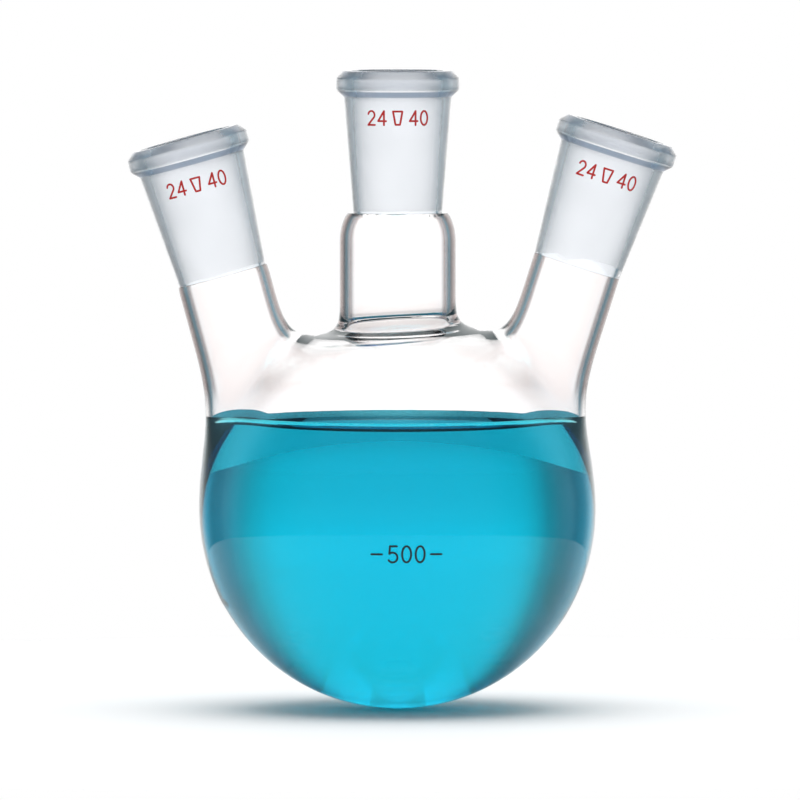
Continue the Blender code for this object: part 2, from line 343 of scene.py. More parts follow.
@dataclass(frozen=True)
class JointGlass:
    """The glass of a taper joint: polished outside, and ground in the bore.

    The glass takes out a little red, which shows where the way through it is long. The ground
    face lets clear_share of the light through and scatters the rest back.
    """

    colour: tuple[float, float, float] = (0.985, 0.99, 1.0)
    refraction: float = 1.474
    density: float = 1.6
    keeps: tuple[float, float, float] = (0.0, 0.42, 0.9)
    roughest: float = 0.42
    smoothest: float = 0.32
    grain_depth: float = 0.02 * MM
    collar_shade_tint: tuple[float, float, float] = (0.16, 0.22, 0.33)
    clear_share: float = 0.955
    collar_shade_fade_in: tuple[float, float] = (-0.15 * MM, 0.35 * MM)
    collar_shade_fade_out: float = 0.25 * MM
    edge_fade: float = 0.5 * MM
    below_edge_roughness: float = 0.05

    def start(self, name: str) -> tuple[bpy.types.Material, Shader, bpy.types.Node]:
        """Makes a clear glass with the joint's tint."""
        material, shader, glass = new_material(name)
        glass.inputs["Base Color"].default_value = (*self.colour, 1.0)
        glass.inputs["IOR"].default_value = self.refraction
        glass.inputs["Transmission Weight"].default_value = 1.0
        absorb(shader, self.density, self.keeps)
        return material, shader, glass

    def polished(self, name: str, effects: Effects, collar_shade_band: tuple[float, float]) -> bpy.types.Material:
        """Makes the outside's material, with a band of painted shade on the chamfer under the rim.

        Args:
            name: the material's name.
            effects: the shared node groups.
            collar_shade_band: lowest and highest height of the painted shade band under the rim.

        Returns:
            The material.
        """
        material, shader, glass = self.start(name)
        low, high = collar_shade_band
        grain = add_group(shader, effects.grain, Scale=140.0, Rings=30.0, Low=0.02, High=0.06)
        shader.link(grain.outputs["Value"], glass.inputs["Roughness"])
        start, full = self.collar_shade_fade_in
        rise = shader.ramp(shader.height(), low + start, low + full, 0.0, 1.0)
        fall = shader.ramp(shader.height(), high - self.collar_shade_fade_out, high, 1.0, 0.0)
        # painted shade: a dark band in the base colour on the chamfer under the rim
        line = shader.math("MULTIPLY", rise, fall)
        shader.link(shader.blend(line, self.colour, self.collar_shade_tint), glass.inputs["Base Color"])
        waves = add_group(shader, effects.waves, Scale=24.0, Fine=0.05)
        bump = shader.add("ShaderNodeBump", Height=waves.outputs["Height"], Distance=0.03 * MM)
        shader.link(bump.outputs[0], glass.inputs["Normal"])
        return material

    def ground(self, name: str, effects: Effects, ragged_edge: float) -> bpy.types.Material:
        """Makes the bore's material: even grey-white grain with faint turning marks.

        Args:
            name: the material's name.
            effects: the shared node groups.
            ragged_edge: how far the grinding stops short of the joint's base, here and there.

        Returns:
            The material.
        """
        material, shader, glass = self.start(name)
        glass.inputs["Transmission Weight"].default_value = self.clear_share
        grain = add_group(
            shader, effects.grain, Scale=2600.0, Rings=1500.0, Low=self.smoothest, High=self.roughest
        )
        place = shader.add("ShaderNodeTexCoord").outputs["Object"]
        wander = shader.add("ShaderNodeTexNoise", Vector=place, Scale=75.0, Detail=1.0)
        stop = shader.ramp(wander.outputs[0], 0.3, 0.7, -0.1 * ragged_edge, ragged_edge)
        above = shader.math("SUBTRACT", shader.height(), stop)
        rough = shader.ramp(above, 0.0, self.edge_fade, self.below_edge_roughness, grain.outputs["Value"])
        shader.link(rough, glass.inputs["Roughness"])
        bump = shader.add("ShaderNodeBump", Height=grain.outputs["Height"], Distance=self.grain_depth)
        shader.link(bump.outputs[0], glass.inputs["Normal"])
        return material


@dataclass(frozen=True)
class BlueSolution:
    """A clear liquid that takes out red, and a little green, along the light's way through it.

    The top's tints are painted in for what a deep liquid shows there: flat and thin for its level middle,
    shore and rim for its raised edge, seen from above, and lit and under for the same from below.
    All are painted dark shade but lit, which is nearly clear.
    """

    refraction: float = 1.333
    colour: tuple[float, float, float] = (0.97, 0.995, 1.0)
    density: float = 60.0
    keeps: tuple[float, float, float] = (0.0, 0.868, 0.933)
    glare: tuple[float, float, float] = (0.2, 0.8, 0.9)
    ripple_height: float = 0.02 * MM
    flat_shade_tint: tuple[float, float, float] = (0.002, 0.19, 0.36)
    thin_shade_tint: tuple[float, float, float] = (0.005, 0.24, 0.42)
    shore_shade_tint: tuple[float, float, float] = (0.002, 0.07, 0.12)
    rim_shade_tint: tuple[float, float, float] = (0.0003, 0.034, 0.076)
    under_shade_tint: tuple[float, float, float] = (0.02, 0.1, 0.14)
    lit_tint: tuple[float, float, float] = (0.99, 1.0, 1.0)
    steep_view_tint: tuple[float, float, float] = (0.9, 0.99, 1.0)
    glance_span: tuple[float, float] = (0.45, 0.7)
    rim_span: tuple[float, float] = (0.5 * MM, 0.9 * MM)
    lean: float = 2.0

    def start(
        self, name: str, refraction: float
    ) -> tuple[bpy.types.Material, Shader, bpy.types.Node]:
        """Makes a smooth dyed liquid.

        Args:
            name: the material's name.
            refraction: how much the surface bends light. 1 leaves it straight.

        Returns:
            The material, its helper and its Principled node.
        """
        material, shader, liquid = new_material(name)
        liquid.inputs["Base Color"].default_value = (*self.colour, 1.0)
        liquid.inputs["Specular Tint"].default_value = (*self.glare, 1.0)
        liquid.inputs["Roughness"].default_value = 0.0
        liquid.inputs["IOR"].default_value = refraction
        liquid.inputs["Transmission Weight"].default_value = 1.0
        absorb(shader, self.density, self.keeps)
        return material, shader, liquid

    def body(self, name: str, effects: Effects) -> bpy.types.Material:
        """The side, against the glass."""
        material, shader, liquid = self.start(name, self.refraction)
        waves = add_group(shader, effects.waves, Scale=60.0, Fine=0.1)
        bump = shader.add("ShaderNodeBump", Height=waves.outputs["Height"], Distance=self.ripple_height)
        shader.link(bump.outputs[0], liquid.inputs["Normal"])
        return material

    def shore(self, name: str, effects: Effects) -> bpy.types.Material:
        """The steep edge of the top: painted dark shade from above, and bright from below, where its tilted
        normals lift light.
        """
        material, shader, liquid = self.start(name, self.refraction)
        grain = add_group(shader, effects.grain, Scale=60.0, Rings=40.0, Low=0.0, High=0.4)
        below = shader.add("ShaderNodeNewGeometry").outputs["Backfacing"]
        # painted shade: the steep edge is dark teal where seen from above
        dark = shader.blend(grain.outputs["Value"], self.shore_shade_tint, self.rim_shade_tint)
        shader.link(shader.blend(below, dark, self.lit_tint), liquid.inputs["Base Color"])
        facing = shader.add("ShaderNodeNewGeometry").outputs["Normal"]
        sink = shader.add("ShaderNodeCombineXYZ", Z=shader.ramp(below, 0.0, 1.0, -self.lean, self.lean))
        tilted = shader.add("ShaderNodeVectorMath", operation="ADD")
        shader.link(facing, tilted.inputs[0])
        shader.link(sink.outputs[0], tilted.inputs[1])
        even = shader.add("ShaderNodeVectorMath", operation="NORMALIZE")
        shader.link(tilted.outputs[0], even.inputs[0])
        shader.link(even.outputs[0], liquid.inputs["Normal"])
        return material

    def top(self, name: str, effects: Effects, level: float) -> bpy.types.Material:
        """The level top with its low shore: a film that bends no light and has hardly any glare, painted
        with dark shade where it is seen at a glance and on its raised rim.

        Args:
            name: the material's name.
            effects: the shared node groups.
            level: height of the level middle.

        Returns:
            The material.
        """
        material, shader, film = self.start(name, 1.0)
        grain = add_group(shader, effects.grain, Scale=90.0, Rings=40.0, Low=0.0, High=1.0)
        glance = shader.add("ShaderNodeLayerWeight").outputs["Facing"]
        # painted shade: the level top darkens to teal where it is seen at a glance
        dye = shader.blend(grain.outputs["Value"], self.flat_shade_tint, self.thin_shade_tint)
        flat = shader.blend(shader.ramp(glance, *self.glance_span, 0.0, 1.0), self.steep_view_tint, dye)
        start, full = self.rim_span
        risen = shader.ramp(shader.height(), level + start, level + full, 0.0, 1.0)
        below = shader.add("ShaderNodeNewGeometry").outputs["Backfacing"]
        # painted shade: the raised rim is dark from above and from below
        edge = shader.blend(below, self.rim_shade_tint, self.under_shade_tint)
        shader.link(shader.blend(risen, flat, edge), film.inputs["Base Color"])
        return material


@dataclass(frozen=True)
class Enamel:
    """Fired enamel: opaque, slightly uneven in colour and gloss."""

    colour: tuple[float, float, float]
    thin_colour: tuple[float, float, float]

    def material(self, name: str, effects: Effects) -> bpy.types.Material:
        """Makes the material."""
        material, shader, paint = new_material(name)
        grain = add_group(shader, effects.grain, Scale=1800.0, Rings=400.0, Low=0.0, High=1.0)
        colour = shader.blend(grain.outputs["Value"], self.colour, self.thin_colour)
        shader.link(colour, paint.inputs["Base Color"])
        gloss = shader.ramp(grain.outputs["Value"], 0.0, 1.0, 0.28, 0.45)
        shader.link(gloss, paint.inputs["Roughness"])
        bump = shader.add("ShaderNodeBump", Height=grain.outputs["Height"], Distance=0.01 * MM)
        shader.link(bump.outputs[0], paint.inputs["Normal"])
        return material


RED_ENAMEL = Enamel(colour=(0.9, 0.035, 0.03), thin_colour=(0.8, 0.05, 0.04))
DARK_ENAMEL = Enamel(colour=(0.004, 0.014, 0.022), thin_colour=(0.01, 0.03, 0.045))


# --- Places, from the frame ---

# Name, shank's radius, radius at the joint, shoulder's height, seal's reach outside and inside.
NECK_SIZES = (
    ("centre", 15.4 * MM, 12.85 * MM, 8.0 * MM, 8.0 * MM, 6.0 * MM),
    ("left", 12.3 * MM, 12.05 * MM, 3.0 * MM, 16.0 * MM, 18.0 * MM),
    ("right", 11.8 * MM, 11.78 * MM, 3.0 * MM, 17.0 * MM, 19.0 * MM),
)
SHOULDER_SHARE = 0.95
SPARE_TUBE = 4.0 * MM
CUT_TOLERANCE = 1e-7
OUTER_BLEND = 18.0 * MM
UPRIGHT_LEAN = 0.01
TURN_START = -0.2
TURN_LENGTH = 1.1


@dataclass(frozen=True)
class Neck:
    """One neck's axis, from its point nearest the bulb's centre. Heights run along it."""

    name: str
    foot: Vector
    direction: Vector
    rim_height: float
    joint_length: float
    shank_radius: float
    seal_radius: float
    shoulder_drop: float
    blend: float
    inner_blend: float

    @property
    def base_height(self) -> float:
        """Height of the joint's base."""
        return self.rim_height - self.joint_length

    @property
    def tilt(self) -> float:
        """Lean from upright, towards +X."""
        return math.atan2(self.direction.x, self.direction.z)

    def matrix(self, height: float) -> Matrix:
        """The neck's own frame in the world, with its origin at this height on the axis."""
        turned = Matrix.Rotation(self.tilt, 4, "Y")
        return Matrix.Translation(self.foot + self.direction * height) @ turned

    def tube(self, points: Points) -> np.ndarray:
        """Distance outside the shank, with its rounded shoulder, measured from each point."""
        offset = points - np.array(self.foot)
        height = offset @ np.array(self.direction)
        across = offset - height[:, None] * np.array(self.direction)
        radius = np.sqrt(np.sum(across**2, axis=1))
        widest, slope = self.outline(height)
        side = (radius - widest) / np.sqrt(1.0 + slope**2)
        beyond = height - self.base_height - SPARE_TUBE
        return np.maximum(np.maximum(side, beyond), -height)

    def reach(self, points: Points, side: Skin) -> np.ndarray:
        """How far the seal with the bulb reaches: furthest on the side away from the flask's axis.

        Args:
            points: where.
            side: which face of the glass.

        Returns:
            The reach at each point.
        """
        blend = self.blend if side is Skin.OUTSIDE else self.inner_blend
        if abs(self.direction.x) < UPRIGHT_LEAN:
            return np.full(len(points), blend)
        away = math.copysign(1.0, self.direction.x)
        outward = np.array((self.direction.z, 0.0, -self.direction.x)) * away
        across = (points - np.array(self.foot)) @ outward / self.shank_radius
        turn = np.clip((across - TURN_START) / TURN_LENGTH, 0.0, 1.0)
        return blend + (OUTER_BLEND - blend) * turn**2 * (3 - 2 * turn)

    def outline(self, height: np.ndarray) -> tuple[np.ndarray, np.ndarray]:
        """The shank's radius, and how fast it changes, at each height.

        Args:
            height: heights along the axis.

        Returns:
            The radius and its slope at each height.
        """
        start = self.base_height - self.shoulder_drop
        full_drop = self.shoulder_drop / SHOULDER_SHARE
        share = np.clip((height - start) / full_drop, 0.0, SHOULDER_SHARE)
        depth = self.shank_radius - self.narrowest
        radius = self.narrowest + depth * np.sqrt(1.0 - share**2)
        slope = -depth / full_drop * share / np.sqrt(1.0 - share**2)
        return radius, np.where(share < SHOULDER_SHARE, slope, 0.0)

    @property
    def narrowest(self) -> float:
        """Where the shoulder's ellipse would end, for it to pass through seal_radius."""
        rest = math.sqrt(1.0 - SHOULDER_SHARE**2)
        return (self.seal_radius - self.shank_radius * rest) / (1.0 - rest)


@dataclass(frozen=True)
class Places:
    """Where the flask's parts are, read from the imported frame."""

    centre: Vector
    radius: float
    level: float
    necks: dict[str, Neck]

    @classmethod
    def from_frame(cls, record: dict) -> "Places":
        """Reads the bulb, the solution's level and the three necks.

        Args:
            record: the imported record.

        Returns:
            The places.
        """
        low, high = (Vector(corner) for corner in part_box("bulb"))
        radius = (high.y - low.y) / 2
        centre = Vector((0.0, 0.0, low.z + radius))
        joint_low, joint_high = (Vector(corner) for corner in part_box("centre_joint"))
        length = joint_high.z - joint_low.z
        mounts = {mount["name"]: mount for mount in record["mounts"]}
        necks = {}
        for name, *sizes in NECK_SIZES:
            mount = mounts[f"{name}_rim"]
            direction = Vector(mount["axis"]).normalized()
            rim = Vector((mount["pos_m"][0], 0.0, mount["pos_m"][2]))
            height = (rim - centre).dot(direction)
            foot = rim - direction * height
            necks[name] = Neck(name, foot, direction, height, length, *sizes)
        return cls(centre, radius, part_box("solution")[1][2], necks)


# --- Smooth fields and the skins drawn on them ---


def smooth_union(first: np.ndarray, second: np.ndarray, reach: np.ndarray | float) -> np.ndarray:
    """The nearer of two distances, blended with even curvature where they come within reach."""
    share = np.maximum(reach - np.abs(first - second), 0.0) / reach
    return np.minimum(first, second) - share**3 * reach / 6.0


def slope_of(distance: Field, points: Points, step: float = 0.02 * MM) -> Points:
    """The field's gradient at each point, by central differences."""
    columns = []
    for axis in range(3):
        shift = np.zeros(3)
        shift[axis] = step
        columns.append((distance(points + shift) - distance(points - shift)) / (2 * step))
    return np.stack(columns, axis=1)


def settle(distance: Field, points: Points, rounds: int = 4) -> Points:
    """Moves points along the field's gradient until they lie on its zero surface."""
    for _ in range(rounds):
        slope = slope_of(distance, points)
        size = np.maximum(np.sum(slope**2, axis=1, keepdims=True), 1e-6)
        points = points - distance(points)[:, None] * slope / size
    return points


@dataclass(frozen=True)
class Net:
    """A grid of cells that a closed surface is drawn through, one corner in each cell it crosses."""

    low: Vector
    high: Vector
    pitch: float

    def draw(self, distance: Field) -> tuple[Points, np.ndarray]:
        """Draws the field's zero surface.

        Args:
            distance: the field, negative inside.

        Returns:
            The corners, and four corner numbers for each face, facing out.
        """
        counts = [int(math.ceil((h - l) / self.pitch)) + 1 for l, h in zip(self.low, self.high)]
        axes = [l + self.pitch * np.arange(n) for l, n in zip(self.low, counts)]
        grid = np.stack(np.meshgrid(*axes, indexing="ij"), axis=-1)
        values = distance(grid.reshape(-1, 3)).reshape(counts)
        inside = values < 0
        cells = self.crossed_cells(inside)
        number = -np.ones(cells.shape, dtype=np.int64)
        number[cells] = np.arange(cells.sum())
        middle = grid[:-1, :-1, :-1][cells] + self.pitch / 2
        faces = [self.faces_across(inside, number, axis) for axis in range(3)]
        return settle(distance, middle, rounds=6), np.concatenate(faces)

    @staticmethod
    def crossed_cells(inside: np.ndarray) -> np.ndarray:
        """Which cells have corners on both sides of the surface."""
        count = np.zeros([n - 1 for n in inside.shape], dtype=np.int64)
        for i in (slice(None, -1), slice(1, None)):
            for j in (slice(None, -1), slice(1, None)):
                for k in (slice(None, -1), slice(1, None)):
                    count += inside[i, j, k]
        return (count > 0) & (count < 8)

    @staticmethod
    def faces_across(inside: np.ndarray, number: np.ndarray, axis: int) -> np.ndarray:
        """One face round each grid edge along axis whose ends lie on different sides."""
        moved = np.moveaxis(inside, axis, 0)
        cell = np.moveaxis(number, axis, 0)
        starts = moved[:-1, 1:-1, 1:-1]
        ends = moved[1:, 1:-1, 1:-1]
        around = np.stack(
            [cell[:, :-1, :-1], cell[:, 1:, :-1], cell[:, 1:, 1:], cell[:, :-1, 1:]], axis=-1
        )
        if axis == 1:
            starts, ends = ends, starts
        outward = around[starts & ~ends]
        inward = around[~starts & ends][:, ::-1]
        return np.concatenate([outward, inward])


# --- Meshes ---


def mesh_object(name: str, mesh: bpy.types.Mesh, place: Matrix | None = None) -> bpy.types.Object:
    """Adds a mesh to the scene, with its origin at place or at the world's."""
    thing = bpy.data.objects.new(name, mesh)
    bpy.context.scene.collection.objects.link(thing)
    if place is not None:
        thing.matrix_world = place
    return thing


def mesh_of(name: str, points: Points, faces: Iterable) -> bpy.types.Mesh:
    """A mesh from corners and faces, shaded smooth."""
    mesh = bpy.data.meshes.new(name)
    mesh.from_pydata(np.asarray(points).tolist(), [], [list(map(int, face)) for face in faces])
    mesh.validate()
    mesh.shade_smooth()
    return mesh


def lathe(profile: list[tuple[float, float]], steps: int) -> tuple[Points, np.ndarray]:
    """Turns a closed section about Z.

    Args:
        profile: (radius, height) pairs round the section, so that the solid is on their left.
        steps: how many times the section is repeated round the axis.

    Returns:
        The corners and the faces, with the faces of one section side after the other.
    """
    angles = np.arange(steps) * math.tau / steps
    outline = np.array(profile)
    points = np.stack(
        [
            np.outer(outline[:, 0], np.cos(angles)),
            np.outer(outline[:, 0], np.sin(angles)),
            np.repeat(outline[:, 1:], steps, axis=1),
        ],
        axis=-1,
    ).reshape(-1, 3)
    here = np.arange(len(profile))[:, None] * steps
    following = (np.arange(len(profile))[:, None] + 1) % len(profile) * steps
    turn = np.arange(steps)[None, :]
    onward = (turn + 1) % steps
    faces = np.stack([here + turn, here + onward, following + onward, following + turn], axis=-1)
    return points, faces.reshape(-1, 4)


def rounded(corners: list[tuple[float, float, float]], points: int = 6) -> list[tuple[float, float]]:
    """A closed outline with its corners rounded.

    Args:
        corners: (radius, height, cut) for each corner. cut is how far from the corner its
            rounding starts on both sides, and 0 keeps it sharp.
        points: points on each rounding.

    Returns:
        The outline's points.
    """
    outline = []
    for i, (x, y, cut) in enumerate(corners):
        if cut == 0.0:
            outline.append((x, y))
            continue
        before = Vector(corners[i - 1][:2]) - Vector((x, y))
        after = Vector(corners[(i + 1) % len(corners)][:2]) - Vector((x, y))
        start = Vector((x, y)) + before.normalized() * cut
        end = Vector((x, y)) + after.normalized() * cut
        for j in range(points):
            t = j / (points - 1)
            spot = start * (1 - t) ** 2 + Vector((x, y)) * 2 * t * (1 - t) + end * t**2
            outline.append((spot.x, spot.y))
    return outline


def show(piece: bpy.types.Object, slot: Slot, *nodes: str) -> None:
    """Makes a piece ride on the flask's one body, in place of the CAD nodes, and logs it."""
    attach(piece, "root")
    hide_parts(*nodes)
    LOG.info("%s: %d faces, in place of %s", piece.name, len(piece.data.polygons), ", ".join(nodes))


# --- The flask's parts ---

RAGGED_EDGES = {"centre": 0.3 * MM, "left": 0.5 * MM, "right": 2.6 * MM}


@dataclass
class BlownGlass:
    """The bulb and the three shanks, fused into one skin of even thickness.

    A face whose normal differs from the field's slope by more than least_agreement, a cosine,
    is on a cut seal and stays flat.
    """

    places: Places
    wall: float = 2.0 * MM
    top_height: float = 101.0 * MM
    top_slope: float = 0.08
    top_blend: float = 5.0 * MM
    pitch: float = 1.25 * MM
    seal_gap: float = 0.28 * MM
    least_agreement: float = 0.85

    def shell(self, points: Points, side: Skin) -> np.ndarray:
        """Distance outside one face of the glass.

        Args:
            points: where.
            side: which face.

        Returns:
            The distance at each point.
        """
        inset = self.wall if side is Skin.INSIDE else 0.0
        total = np.sqrt(np.sum((points - np.array(self.places.centre)) ** 2, axis=1))
        total = total - self.places.radius
        top = points[:, 2] - self.top_height - self.top_slope * points[:, 0]
        total = -smooth_union(-total, -top, self.top_blend) + inset
        for neck in self.places.necks.values():
            total = smooth_union(total, neck.tube(points) + inset, neck.reach(points, side))
        return total

    def outside(self, points: Points) -> np.ndarray:
        """Distance outside the glass's outer face."""
        return self.shell(points, Skin.OUTSIDE)

    def inside(self, points: Points) -> np.ndarray:
        """Distance outside the glass's inner face."""
        return self.shell(points, Skin.INSIDE)

    def skin(self, side: Skin) -> bmesh.types.BMesh:
        """Draws one face of the glass and cuts it level with each joint's base.

        Args:
            side: which face.

        Returns:
            The open skin, as a bmesh that the caller frees.
        """
        distance = self.outside if side is Skin.OUTSIDE else self.inside
        reach = self.places.radius + 2 * self.pitch
        tops = [n.foot + n.direction * (n.base_height + 2 * SPARE_TUBE) for n in self.places.necks.values()]
        widest = max(n.shank_radius for n in self.places.necks.values())
        low = self.places.centre - Vector((reach, reach, reach))
        high = self.places.centre + Vector((reach, reach, reach))
        low.x = min(low.x, min(top.x for top in tops) - widest)
        high.x = max(high.x, max(top.x for top in tops) + widest)
        high.z = max(top.z for top in tops)
        points, faces = Net(low, high, self.pitch).draw(distance)
        form = bmesh.new()
        form.from_mesh(mesh_of("skin", points, faces))
        for neck in self.places.necks.values():
            self.trim(form, neck)
        return form

    def trim(self, form: bmesh.types.BMesh, neck: Neck) -> None:
        """Cuts the skin off at the joint's base, round one neck only."""
        cut = neck.foot + neck.direction * (neck.base_height - self.seal_gap)
        near = neck.base_height - neck.shoulder_drop
        verts = {v for v in form.verts if self.on_neck(v.co, neck, near)}
        edges = {e for v in verts for e in v.link_edges}
        faces = {f for v in verts for f in v.link_faces}
        bmesh.ops.bisect_plane(
            form,
            geom=[*verts, *edges, *faces],
            dist=CUT_TOLERANCE,
            plane_co=cut,
            plane_no=neck.direction,
            clear_outer=True,
        )

    @staticmethod
    def on_neck(spot: Vector, neck: Neck, height: float) -> bool:
        """Whether a point is on this neck, above this height."""
        offset = spot - neck.foot
        along = offset.dot(neck.direction)
        return along > height and (offset - neck.direction * along).length < 2 * neck.shank_radius

    def build(self) -> bpy.types.Mesh:
        """Joins the two skins round the three open seals, with true normals on both."""
        form = self.skin(Skin.OUTSIDE)
        inner = self.skin(Skin.INSIDE)
        bmesh.ops.reverse_faces(inner, faces=inner.faces)
        holder = bpy.data.meshes.new("inner_skin")
        inner.to_mesh(holder)
        inner.free()
        form.from_mesh(holder)
        for neck in self.places.necks.values():
            rims = [e for e in form.edges if e.is_boundary and self.edge_on(e, neck)]
            bmesh.ops.bridge_loops(form, edges=rims)
        mesh = bpy.data.meshes.new("flask_glass")
        bmesh.ops.recalc_face_normals(form, faces=form.faces)
        form.to_mesh(mesh)
        form.free()
        self.set_normals(mesh)
        return mesh

    def edge_on(self, edge: bmesh.types.BMEdge, neck: Neck) -> bool:
        """Whether an open edge is round this neck's seal."""
        return self.on_neck(edge.verts[0].co, neck, neck.base_height - neck.shoulder_drop)

    def set_normals(self, mesh: bpy.types.Mesh) -> None:
        """Shades each skin with its field's own slope, and the seals flat."""
        mesh.shade_smooth()
        spots = np.empty(len(mesh.vertices) * 3)
        mesh.vertices.foreach_get("co", spots)
        spots = spots.reshape(-1, 3)
        outer = np.abs(self.outside(spots)) < np.abs(self.inside(spots))
        slopes = np.where(outer[:, None], slope_of(self.outside, spots), slope_of(self.inside, spots))
        slopes /= np.linalg.norm(slopes, axis=1, keepdims=True)
        corner_vertex = np.empty(len(mesh.loops), dtype=np.int64)
        mesh.loops.foreach_get("vertex_index", corner_vertex)
        totals = np.empty(len(mesh.polygons), dtype=np.int64)
        mesh.polygons.foreach_get("loop_total", totals)
        facing = np.empty(len(mesh.polygons) * 3)
        mesh.polygons.foreach_get("normal", facing)
        corner_face = np.repeat(facing.reshape(-1, 3), totals, axis=0)
        normals = slopes[corner_vertex]
        agree = np.sum(normals * corner_face, axis=1)
        normals = np.where(agree[:, None] < 0, -normals, normals)
        normals = np.where(np.abs(agree)[:, None] < self.least_agreement, corner_face, normals)
        mesh.normals_split_custom_set(normals.tolist())

    def dress(self, finish: ClearGlass, effects: Effects) -> None:
        """Builds the glass and shows it in place of the bulb and the shanks."""
        mesh = self.build()
        mesh.materials.append(finish.material("blown_clear_glass", effects, self.places.level))
        piece = mesh_object("flask_glass", mesh)
        show(piece, Slot.CLEAR, "bulb", *(f"{name}_shank" for name in self.places.necks))


@dataclass
class GroundJoint:
    """A ground taper joint: frosted bore, polished outside, beaded rim."""

    neck: Neck
    rim_radius: float
    mouth_radius: float = 12.0 * MM
    taper: float = 0.1
    wall_at_base: float = 1.65 * MM
    wall_at_rim: float = 2.25 * MM
    rim_flat: float = 1.9 * MM
    rim_round: float = 1.8 * MM
    rim_band: float = 3.4 * MM
    rim_chamfer: float = 1.8 * MM
    lip: float = 0.4 * MM
    foot_reach: float = 0.26 * MM
    bore_inset: float = 1.2 * MM
    steps: int = 144

    @property
    def base_bore(self) -> float:
        """Radius of the bore at the joint's base."""
        return self.mouth_radius - self.taper * self.neck.joint_length / 2

    @property
    def base_radius(self) -> float:
        """Radius of the cone's outside at the joint's base."""
        return self.base_bore + self.wall_at_base

    @property
    def cone_radius(self) -> float:
        """Radius of the cone's outside under the rim."""
        return self.mouth_radius + self.wall_at_rim

    def outside_at(self, height: float) -> float:
        """Radius of the cone's outside at a height over the joint's base."""
        top = self.neck.joint_length - self.rim_round - self.rim_band - self.rim_chamfer
        return self.base_radius + (self.cone_radius - self.base_radius) * height / top

    def section(self) -> list[tuple[float, float]]:
        """The section, up the outside and down the bore."""
        top = self.neck.joint_length
        band_top = top - self.rim_round
        band_base = band_top - self.rim_band
        foot = -self.foot_reach
        return rounded(
            [
                (self.base_bore, foot, 0.0),
                (self.base_radius, foot, 0.15 * MM),
                (self.cone_radius, band_base - self.rim_chamfer, 0.3 * MM),
                (self.rim_radius - 0.15 * MM, band_base, 0.3 * MM),
                (self.rim_radius, band_base + 0.3 * MM, 0.1 * MM),
                (self.rim_radius, band_top - 0.2 * MM, 0.35 * MM),
                (self.mouth_radius + self.lip + self.rim_flat, top, 0.4 * MM),
                (self.mouth_radius + self.lip, top, 0.2 * MM),
                (self.mouth_radius, top - self.lip, 0.2 * MM),
            ]
        )

    @property
    def collar_shade_band(self) -> tuple[float, float]:
        """Lowest and highest height of the chamfer under the rim, where the outside's material paints a
        band of shade.
        """
        high = self.neck.joint_length - self.rim_round - self.rim_band
        return high - self.rim_chamfer, high

    def dress(self, outer: bpy.types.Material, ground: bpy.types.Material) -> None:
        """Builds the joint and shows it in place of its CAD node."""
        name = f"{self.neck.name}_joint"
        section = self.section()
        points, faces = lathe(section, self.steps)
        mesh = mesh_of(name, points, faces)
        mesh.set_sharp_from_angle(angle=math.radians(50))
        mesh.materials.append(outer)
        mesh.materials.append(ground)
        bore_top = self.neck.joint_length - self.lip
        for face in mesh.polygons:
            radius = math.hypot(face.center.x, face.center.y)
            near_axis = radius < self.outside_at(face.center.z) - self.bore_inset
            face.material_index = int(near_axis and face.center.z < bore_top)
        piece = mesh_object(f"{name}_glass", mesh, self.neck.matrix(self.neck.base_height))
        show(piece, Slot.GROUND, name)


